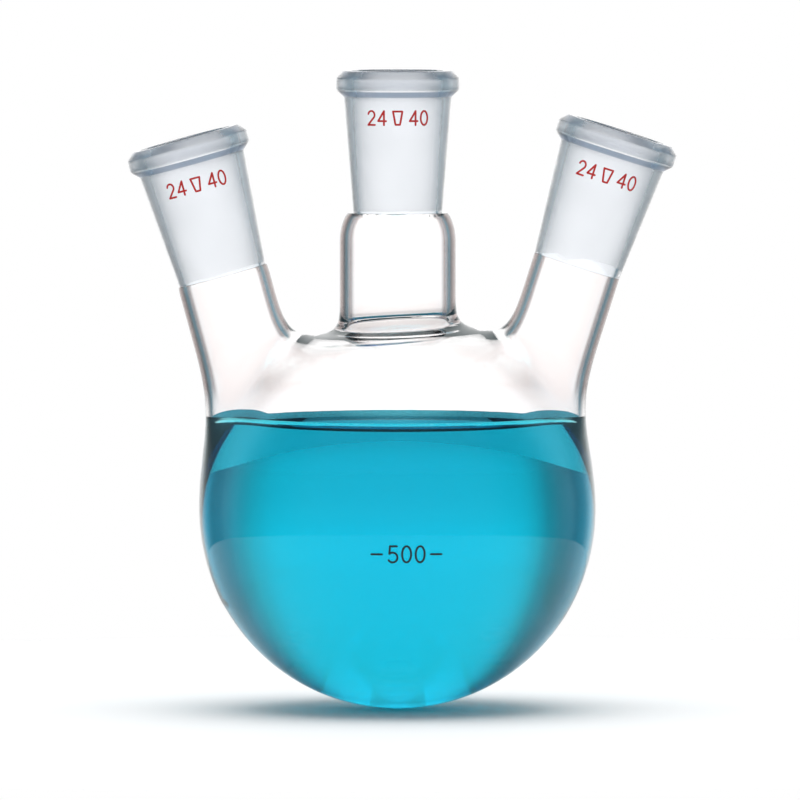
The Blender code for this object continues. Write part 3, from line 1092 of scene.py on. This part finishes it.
@dataclass
class Solution:
    """The liquid: it wets the glass, and climbs it all round its level top."""

    glass: BlownGlass
    overlap: float = 0.15 * MM
    capillary_length: float = 2.4 * MM
    wall_slope: float = math.radians(88)
    below_level: float = 2.8 * MM
    around: int = 288
    rows: int = 110
    slope_steps: int = 26
    shore_slope: float = math.radians(42)
    open_rings: tuple[float, ...] = (11.8, 13.5, 17.0, 24.0, 31.0, 40.0)
    slope_power: float = 1.6
    search_share: float = 1.2
    search_rounds: int = 40

    @property
    def flat_level(self) -> float:
        """Height of the middle of the liquid's top."""
        return self.glass.places.level - self.below_level

    @property
    def climb(self) -> float:
        """How high the edge stands above the middle."""
        return 2 * self.capillary_length * math.sin(self.wall_slope / 2)

    @property
    def slopes(self) -> list[float]:
        """The slopes at the edge's points, from the wall inwards."""
        shares = [1 - i / self.slope_steps for i in range(self.slope_steps)]
        return [self.wall_slope * share**self.slope_power for share in shares]

    def meniscus(self) -> list[tuple[float, float]]:
        """The edge's section: how far from the wall, and how high above the middle.

        It follows the shape that surface tension gives a liquid against a wall, which is set by
        the slope at each point.

        Returns:
            The section's points, from the wall inwards.
        """

        def spread(slope: float) -> float:
            """How far in this slope lies, from a place that all the slopes share."""
            return self.capillary_length * (math.log(math.tan(slope / 4)) + 2 * math.cos(slope / 2))

        found = []
        for slope in self.slopes:
            height = 2 * self.capillary_length * math.sin(slope / 2)
            found.append((spread(self.wall_slope) - spread(slope), height))
        return found

    def wet(self, points: Points) -> np.ndarray:
        """Distance outside the liquid's side, which lies a little way into the glass."""
        return self.glass.inside(points) - self.overlap

    def reach(self, start: Points, ways: Points) -> np.ndarray:
        """How far each way runs from its start before it leaves the liquid's space."""
        near = np.zeros(len(ways))
        far = np.full(len(ways), self.glass.places.radius * self.search_share)
        for _ in range(self.search_rounds):
            middle = (near + far) / 2
            outside = self.wet(start + ways * middle[:, None]) > 0
            far = np.where(outside, middle, far)
            near = np.where(outside, near, middle)
        return (near + far) / 2

    def build(self) -> bpy.types.Mesh:
        """The closed body: rays from the bulb's centre for the side, then rings across the top."""
        centre = np.array(self.glass.places.centre)
        turns = np.arange(self.around) * math.tau / self.around
        flat = np.stack([np.cos(turns), np.sin(turns), np.zeros(self.around)], axis=1)
        edge = self.flat_level + self.climb
        shore = self.reach(np.broadcast_to([centre[0], centre[1], edge], flat.shape), flat)
        lift = np.arctan2(edge - centre[2], shore)
        rings = []
        for row in range(1, self.rows + 1):
            rise = -math.pi / 2 + (lift + math.pi / 2) * row / self.rows
            ways = flat * np.cos(rise)[:, None] + np.outer(np.sin(rise), [0.0, 0.0, 1.0])
            distance = self.reach(np.broadcast_to(centre, ways.shape), ways)
            rings.append(centre + ways * distance[:, None])
        top = self.meniscus()[1:] + [(ring * MM, 0.0) for ring in self.open_rings]
        for inward, height in top:
            level = np.array([centre[0], centre[1], self.flat_level + height])
            rings.append(flat * (shore - inward)[:, None] + level)
        down = np.array([[0.0, 0.0, -1.0]])
        bottom = centre + down[0] * self.reach(centre[None, :], down)[0]
        middle = np.array([centre[0], centre[1], self.flat_level])
        points = np.concatenate([bottom[None, :], *rings, middle[None, :]])
        return mesh_of("solution_liquid", points, self.faces(len(rings)))

    def part_of(self, face: bpy.types.MeshPolygon) -> int:
        """Which material a face takes: 0 on the side, 1 on the steep shore, 2 on the level top."""
        ring = (min(face.vertices) - 1) // self.around + 1
        if ring < self.rows:
            return 0
        steep = sum(slope > self.shore_slope for slope in self.slopes)
        return 1 if ring < self.rows + steep else 2

    def faces(self, rings: int) -> list[list[int]]:
        """Faces of a closed stack of rings between two end points."""
        found = []
        last = 1 + rings * self.around
        for i in range(self.around):
            j = (i + 1) % self.around
            found.append([0, 1 + j, 1 + i])
            found.append([last - self.around + i, last - self.around + j, last])
            for row in range(rings - 1):
                low = 1 + row * self.around
                found.append([low + i, low + j, low + self.around + j, low + self.around + i])
        return found

    def dress(self, finish: BlueSolution, effects: Effects) -> None:
        """Builds the liquid and shows it in place of its CAD node."""
        mesh = self.build()
        mesh.set_sharp_from_angle(angle=math.radians(20))
        mesh.materials.append(finish.body("blue_solution", effects))
        mesh.materials.append(finish.shore("blue_solution_shore", effects))
        mesh.materials.append(finish.top("blue_solution_top", effects, self.flat_level))
        for face in mesh.polygons:
            face.material_index = self.part_of(face)
        show(mesh_object("solution_liquid", mesh), Slot.SOLUTION, "solution")


# --- Enamel marks ---

# Section of a stroke, across in half widths and up in thicknesses. Its foot lies in the glass.
RIDGE = ((-1, -0.3), (-1, 0.5), (-0.5, 1.0), (0.5, 1.0), (1, 0.5), (1, -0.3))
TIP_TURNS = (25, 50, 70, 85)
JOINT_MARK_DEPTH = 12.2 * MM
JOINT_MARK_HEIGHT = 4.0 * MM
CAPACITY_MARK_HEIGHT = 4.7 * MM


def bend(
    centre: tuple[float, float], size: tuple[float, float], start: float, end: float, points: int = 22
) -> Stroke:
    """Points along an ellipse, by angles in degrees from +X.

    Args:
        centre: its centre.
        size: its two radii.
        start: the first angle.
        end: the last angle.
        points: how many points.

    Returns:
        The points.
    """
    turns = [math.radians(start + (end - start) * i / (points - 1)) for i in range(points)]
    return [(centre[0] + size[0] * math.cos(a), centre[1] + size[1] * math.sin(a)) for a in turns]


class Sign(Enum):
    """What a mark is made of. Each sign is drawn in a box one unit high."""

    ZERO = "0"
    TWO = "2"
    FOUR = "4"
    FIVE = "5"
    TAPER = "taper outline"
    TICK = "graduation tick"

    @property
    def width(self) -> float:
        """Width of the sign's box."""
        return {Sign.TAPER: 0.62, Sign.TICK: 0.62}.get(self, 0.6)

    def strokes(self) -> list[Stroke]:
        """The sign's strokes, as chains of points."""
        if self is Sign.ZERO:
            return [bend((0.3, 0.5), (0.25, 0.46), 90, 450, 40)]
        if self is Sign.TWO:
            top = bend((0.3, 0.7), (0.24, 0.26), 165, -35)
            return [[*top, (0.06, 0.04)], [(0.06, 0.04), (0.56, 0.04)]]
        if self is Sign.FOUR:
            return [[(0.44, 0.04), (0.44, 0.96)], [(0.44, 0.96), (0.04, 0.3)], [(0.04, 0.3), (0.58, 0.3)]]
        if self is Sign.FIVE:
            bowl = bend((0.28, 0.32), (0.27, 0.28), 128, -145, 30)
            return [[(0.52, 0.96), (0.14, 0.96)], [(0.14, 0.96), (0.1, 0.53)], [(0.1, 0.53), *bowl[2:]]]
        if self is Sign.TAPER:
            return [[(0.0, 0.94), (0.62, 0.94), (0.46, 0.06), (0.16, 0.06), (0.0, 0.94)]]
        return [[(0.02, 0.5), (0.6, 0.5)]]


@dataclass
class EnamelMark:
    """A row of signs, printed on a turned face. Each stroke stands step_up higher than the last."""

    name: str
    signs: tuple[Sign, ...]
    height: float
    wrap: Callable[[float, float, float], Vector]
    pen: float = 0.52 * MM
    thickness: float = 0.05 * MM
    step_up: float = 0.04
    spacing: float = 0.16
    wide_spacing: float = 0.45

    def gap(self, before: Sign, after: Sign) -> float:
        """The space between two neighbours: wide beside a sign that isn't a numeral."""
        plain = {Sign.TAPER, Sign.TICK}
        return self.wide_spacing if plain & {before, after} else self.spacing

    def layout(self) -> list[Stroke]:
        """Every stroke in metres, about the middle of the row."""
        gaps = [self.gap(a, b) for a, b in zip(self.signs, self.signs[1:])] + [0.0]
        left = -(sum(sign.width for sign in self.signs) + sum(gaps)) / 2
        placed = []
        for sign, gap in zip(self.signs, gaps):
            for stroke in sign.strokes():
                placed.append([((left + x) * self.height, (y - 0.5) * self.height) for x, y in stroke])
            left += sign.width + gap
        return placed

    def sections(self, stroke: Stroke) -> list[tuple[Vector, Vector, float]]:
        """Centre, sideways direction and half width, along a stroke with round ends."""
        spots = self.even(stroke)
        half = self.pen / 2
        found = []
        for i, spot in enumerate(spots):
            along = (spots[min(i + 1, len(spots) - 1)] - spots[max(i - 1, 0)]).normalized()
            found.append((spot, Vector((-along.y, along.x)), half))
        tips = []
        for end, sign in ((0, -1.0), (-1, 1.0)):
            spot, side, _ = found[end]
            along = Vector((side.y, -side.x)) * sign
            for turn in TIP_TURNS:
                angle = math.radians(turn)
                tips.append((spot + along * half * math.sin(angle), side, half * math.cos(angle)))
        count = len(TIP_TURNS)
        return [*reversed(tips[:count]), *found, *tips[count:]]

    def even(self, stroke: Stroke) -> list[Vector]:
        """The stroke with points no further apart than half its pen."""
        spots = [Vector(stroke[0])]
        for end in stroke[1:]:
            start = spots[-1].copy()
            steps = max(1, math.ceil((Vector(end) - start).length / (self.pen / 2)))
            spots += [start.lerp(Vector(end), k / steps) for k in range(1, steps + 1)]
        return spots

    def build(self) -> bpy.types.Mesh:
        """Lofts every stroke as a low domed ridge on the wrapped face."""
        points: list[Vector] = []
        faces: list[list[int]] = []
        size = len(RIDGE)
        for order, stroke in enumerate(self.layout()):
            lift = self.thickness * (1 + self.step_up * order)
            first = len(points)
            rows = self.sections(stroke)
            for spot, side, half in rows:
                for across, up in RIDGE:
                    flat = spot + side * half * across
                    points.append(self.wrap(flat.x, flat.y, lift * up))
            for row in range(len(rows) - 1):
                low = first + row * size
                for k in range(size):
                    onward = (k + 1) % size
                    faces.append([low + k, low + onward, low + size + onward, low + size + k])
            faces.append([first + k for k in reversed(range(size))])
            faces.append([first + (len(rows) - 1) * size + k for k in range(size)])
        mesh = mesh_of(self.name, np.array(points), faces)
        form = bmesh.new()
        form.from_mesh(mesh)
        bmesh.ops.recalc_face_normals(form, faces=form.faces)
        form.to_mesh(mesh)
        form.free()
        mesh.set_sharp_from_angle(angle=math.radians(50))
        return mesh

    def dress(self, material: bpy.types.Material, slot: Slot, place: Matrix | None = None) -> None:
        """Builds the mark and shows it in place of its CAD node."""
        mesh = self.build()
        mesh.materials.append(material)
        show(mesh_object(f"{self.name}_print", mesh, place), slot, self.name)


def joint_mark(joint: GroundJoint) -> EnamelMark:
    """The size mark on the front of a joint, in the joint's own frame.

    Args:
        joint: the joint.

    Returns:
        The mark.
    """
    middle = joint.neck.joint_length - JOINT_MARK_DEPTH

    def wrap(x: float, y: float, out: float) -> Vector:
        """A spot on the cone's front: x round it, y up it and out from it."""
        radius = joint.outside_at(middle + y)
        angle = -math.pi / 2 + x / radius
        return Vector(((radius + out) * math.cos(angle), (radius + out) * math.sin(angle), middle + y))

    signs = (Sign.TWO, Sign.FOUR, Sign.TAPER, Sign.FOUR, Sign.ZERO)
    return EnamelMark(f"{joint.neck.name}_joint_mark", signs, JOINT_MARK_HEIGHT, wrap)


def capacity_mark(places: Places) -> EnamelMark:
    """The capacity mark on the front of the bulb, at the middle of its CAD patch.

    Args:
        places: where the bulb is.

    Returns:
        The mark.
    """
    low, high = (Vector(corner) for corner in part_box("capacity_mark"))
    middle = (low + high) / 2
    latitude = math.asin((middle.z - places.centre.z) / places.radius)
    longitude = -math.pi / 2 + middle.x / places.radius

    def wrap(x: float, y: float, out: float) -> Vector:
        """A spot on the bulb's front: x round it, y up it and out from it."""
        up = latitude + y / places.radius
        turn = longitude + x / (places.radius * math.cos(latitude))
        ray = Vector((math.cos(up) * math.cos(turn), math.cos(up) * math.sin(turn), math.sin(up)))
        return places.centre + ray * (places.radius + out)

    signs = (Sign.TICK, Sign.FIVE, Sign.ZERO, Sign.ZERO, Sign.TICK)
    return EnamelMark(
        "capacity_mark", signs, CAPACITY_MARK_HEIGHT, wrap, pen=0.55 * MM, wide_spacing=0.3
    )


# --- Studio ---


@dataclass
class Studio:
    """White room, pale table and a long-lens camera.

    light_round is the room's brightness by degrees from straight behind the flask, and light_up
    by degrees over the horizon. The tint's spans are degrees from straight behind, and heights.
    """

    view_width: float = 211.9 * MM
    aim: Vector = field(default_factory=lambda: Vector((0.0006, 0.0, 0.0818)))
    distance: float = 4.2
    elevation: float = math.radians(2.8)
    table_radius: float = 0.3
    table_drop: float = 0.0002
    table_shade: float = 0.64
    table_seen: float = 0.97
    ceiling: float = 1.85
    light_scale: float = 2.1
    ceiling_span: tuple[float, float] = (0.8, 0.97)
    edge_tint: tuple[float, float, float] = (0.55, 0.84, 1.0)
    tint_start: tuple[float, float] = (28.0, 44.0)
    tint_end: tuple[float, float] = (95.0, 130.0)
    tint_top: tuple[float, float] = (0.6, 0.8)
    bounces: int = 24
    light_round: tuple[tuple[float, float], ...] = (
        (-180, 0.28), (-130, 0.22), (-95, 0.14), (-75, 0.3), (-62, 0.45), (-54, 0.3), (-46, 0.19),
        (-38, 0.14), (-31, 0.2), (-25, 0.4), (-15, 0.6), (0, 0.63), (16, 0.6), (25, 0.46), (34, 0.27),
        (44, 0.19), (53, 0.3), (62, 0.45), (75, 0.3), (95, 0.14), (130, 0.22), (180, 0.28),
    )
    light_up: tuple[tuple[float, float], ...] = (
        (-90, 0.4), (-30, 0.5), (-14, 0.61), (-12, 0.7), (-9, 0.79), (-5, 0.83), (-2, 0.89), (3, 0.97),
        (8, 0.93), (90, 0.92),
    )

    def build(self) -> None:
        """Sets up the room, the table and the camera."""
        self.camera()
        self.table()
        self.room()
        scene = bpy.context.scene
        scene.view_settings.view_transform = "Standard"
        scene.cycles.max_bounces = self.bounces
        scene.cycles.transmission_bounces = self.bounces

    def camera(self) -> None:
        """Looks along +Y, from a little above."""
        data = bpy.data.cameras.new("camera")
        data.sensor_width = 36.0
        data.lens = data.sensor_width * self.distance / self.view_width
        data.clip_end = 50.0
        camera = bpy.data.objects.new("camera", data)
        bpy.context.scene.collection.objects.link(camera)
        back = Vector((0.0, -math.cos(self.elevation), math.sin(self.elevation)))
        camera.location = self.aim + back * self.distance
        camera.rotation_euler = (math.pi / 2 - self.elevation, 0.0, 0.0)
        bpy.context.scene.camera = camera

    def table(self) -> None:
        """A round white table top under the bulb."""
        form = bmesh.new()
        bmesh.ops.create_circle(form, cap_ends=True, segments=128, radius=self.table_radius)
        mesh = bpy.data.meshes.new("table_top")
        form.to_mesh(mesh)
        form.free()
        material, shader, paint = new_material("white_table")
        ray = shader.add("ShaderNodeLightPath").outputs["Is Camera Ray"]
        grey = shader.ramp(ray, 0.0, 1.0, self.table_shade, self.table_seen)
        colour = shader.add("ShaderNodeCombineColor")
        for socket in colour.inputs:
            shader.link(grey, socket)
        shader.link(colour.outputs[0], paint.inputs["Base Color"])
        paint.inputs["Roughness"].default_value = 0.9
        paint.inputs["Specular IOR Level"].default_value = 0.1
        mesh.materials.append(material)
        top = mesh_object("table_top", mesh, Matrix.Translation((0.0, 0.0, -self.table_drop)))

    def room(self) -> None:
        """A bright wall behind, darker upright borders beside it, and a dim room in front."""
        world = bpy.data.worlds.new("white_room")
        world.use_nodes = True
        bpy.context.scene.world = world
        shader = Shader(world.node_tree)
        way = shader.add("ShaderNodeTexCoord").outputs["Generated"]
        parts = shader.add("ShaderNodeSeparateXYZ", Vector=way).outputs
        side = shader.math("ARCTAN2", parts["X"], parts["Y"])
        turn = shader.math("MULTIPLY_ADD", side, 0.5 / math.pi, 0.5)
        border = shader.add("ShaderNodeFloatCurve", Value=turn)
        self.draw_curve(border, [((degrees + 180) / 360, value) for degrees, value in self.light_round])
        aside = shader.math("DEGREES", shader.math("ABSOLUTE", side))
        starting = shader.ramp(aside, *self.tint_start, 0.0, 1.0)
        beside = shader.math("MULTIPLY", starting, shader.ramp(aside, *self.tint_end, 1.0, 0.0))
        rise = shader.math("ARCSINE", parts["Z"])
        height = shader.math("MULTIPLY_ADD", rise, 1 / math.pi, 0.5)
        stack = shader.add("ShaderNodeFloatCurve", Value=height)
        self.draw_curve(stack, [((degrees + 90) / 180, value) for degrees, value in self.light_up])
        steep = shader.ramp(parts["Z"], *self.ceiling_span, 0.0, 1.0)
        round_light = shader.add("ShaderNodeMix", data_type="FLOAT")
        shader.link(steep, round_light.inputs[0])
        shader.link(border.outputs[0], round_light.inputs[2])
        round_light.inputs[3].default_value = self.ceiling
        light = shader.math("MULTIPLY", round_light.outputs[0], stack.outputs[0])
        strength = shader.math("MULTIPLY", light, self.light_scale)
        ray = shader.add("ShaderNodeLightPath").outputs["Is Camera Ray"]
        seen = shader.ramp(ray, 0.0, 1.0, strength, 1.0)
        background = world.node_tree.nodes["Background"]
        low = shader.math("MULTIPLY", beside, shader.ramp(parts["Z"], *self.tint_top, 1.0, 0.0))
        tinted = shader.math("MULTIPLY", low, shader.math("SUBTRACT", 1.0, ray))
        shader.link(shader.blend(tinted, (1.0, 1.0, 1.0), self.edge_tint), background.inputs["Color"])
        shader.link(seen, background.inputs["Strength"])

    @staticmethod
    def draw_curve(node: bpy.types.Node, points: Iterable[tuple[float, float]]) -> None:
        """Draws a curve through points whose two numbers both run from 0 to 1."""
        curve = node.mapping.curves[0]
        spots = list(points)
        while len(curve.points) < len(spots):
            curve.points.new(0.5, 0.5)
        for point, spot in zip(curve.points, spots):
            point.location = spot
        node.mapping.update()


def main() -> None:
    """Builds the flask from the glass outwards, then the studio."""
    logging.basicConfig(level=logging.INFO, format="%(message)s")
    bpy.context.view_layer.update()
    places = Places.from_frame(frame["record"])
    effects = Effects()
    glass = BlownGlass(places)
    glass.dress(ClearGlass(), effects)
    Solution(glass).dress(BlueSolution(), effects)
    red = RED_ENAMEL.material("red_enamel", effects)
    dark = DARK_ENAMEL.material("dark_enamel", effects)
    low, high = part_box("centre_joint")
    finish = JointGlass()
    for neck in places.necks.values():
        joint = GroundJoint(neck, rim_radius=(high[1] - low[1]) / 2)
        polished = finish.polished(f"{neck.name}_joint_polished", effects, joint.collar_shade_band)
        ground = finish.ground(f"{neck.name}_joint_ground", effects, RAGGED_EDGES[neck.name])
        joint.dress(polished, ground)
        joint_mark(joint).dress(red, Slot.RED, neck.matrix(neck.base_height))
    capacity_mark(places).dress(dark, Slot.DARK)
    Studio().build()


if __name__ == "__main__":
    main()
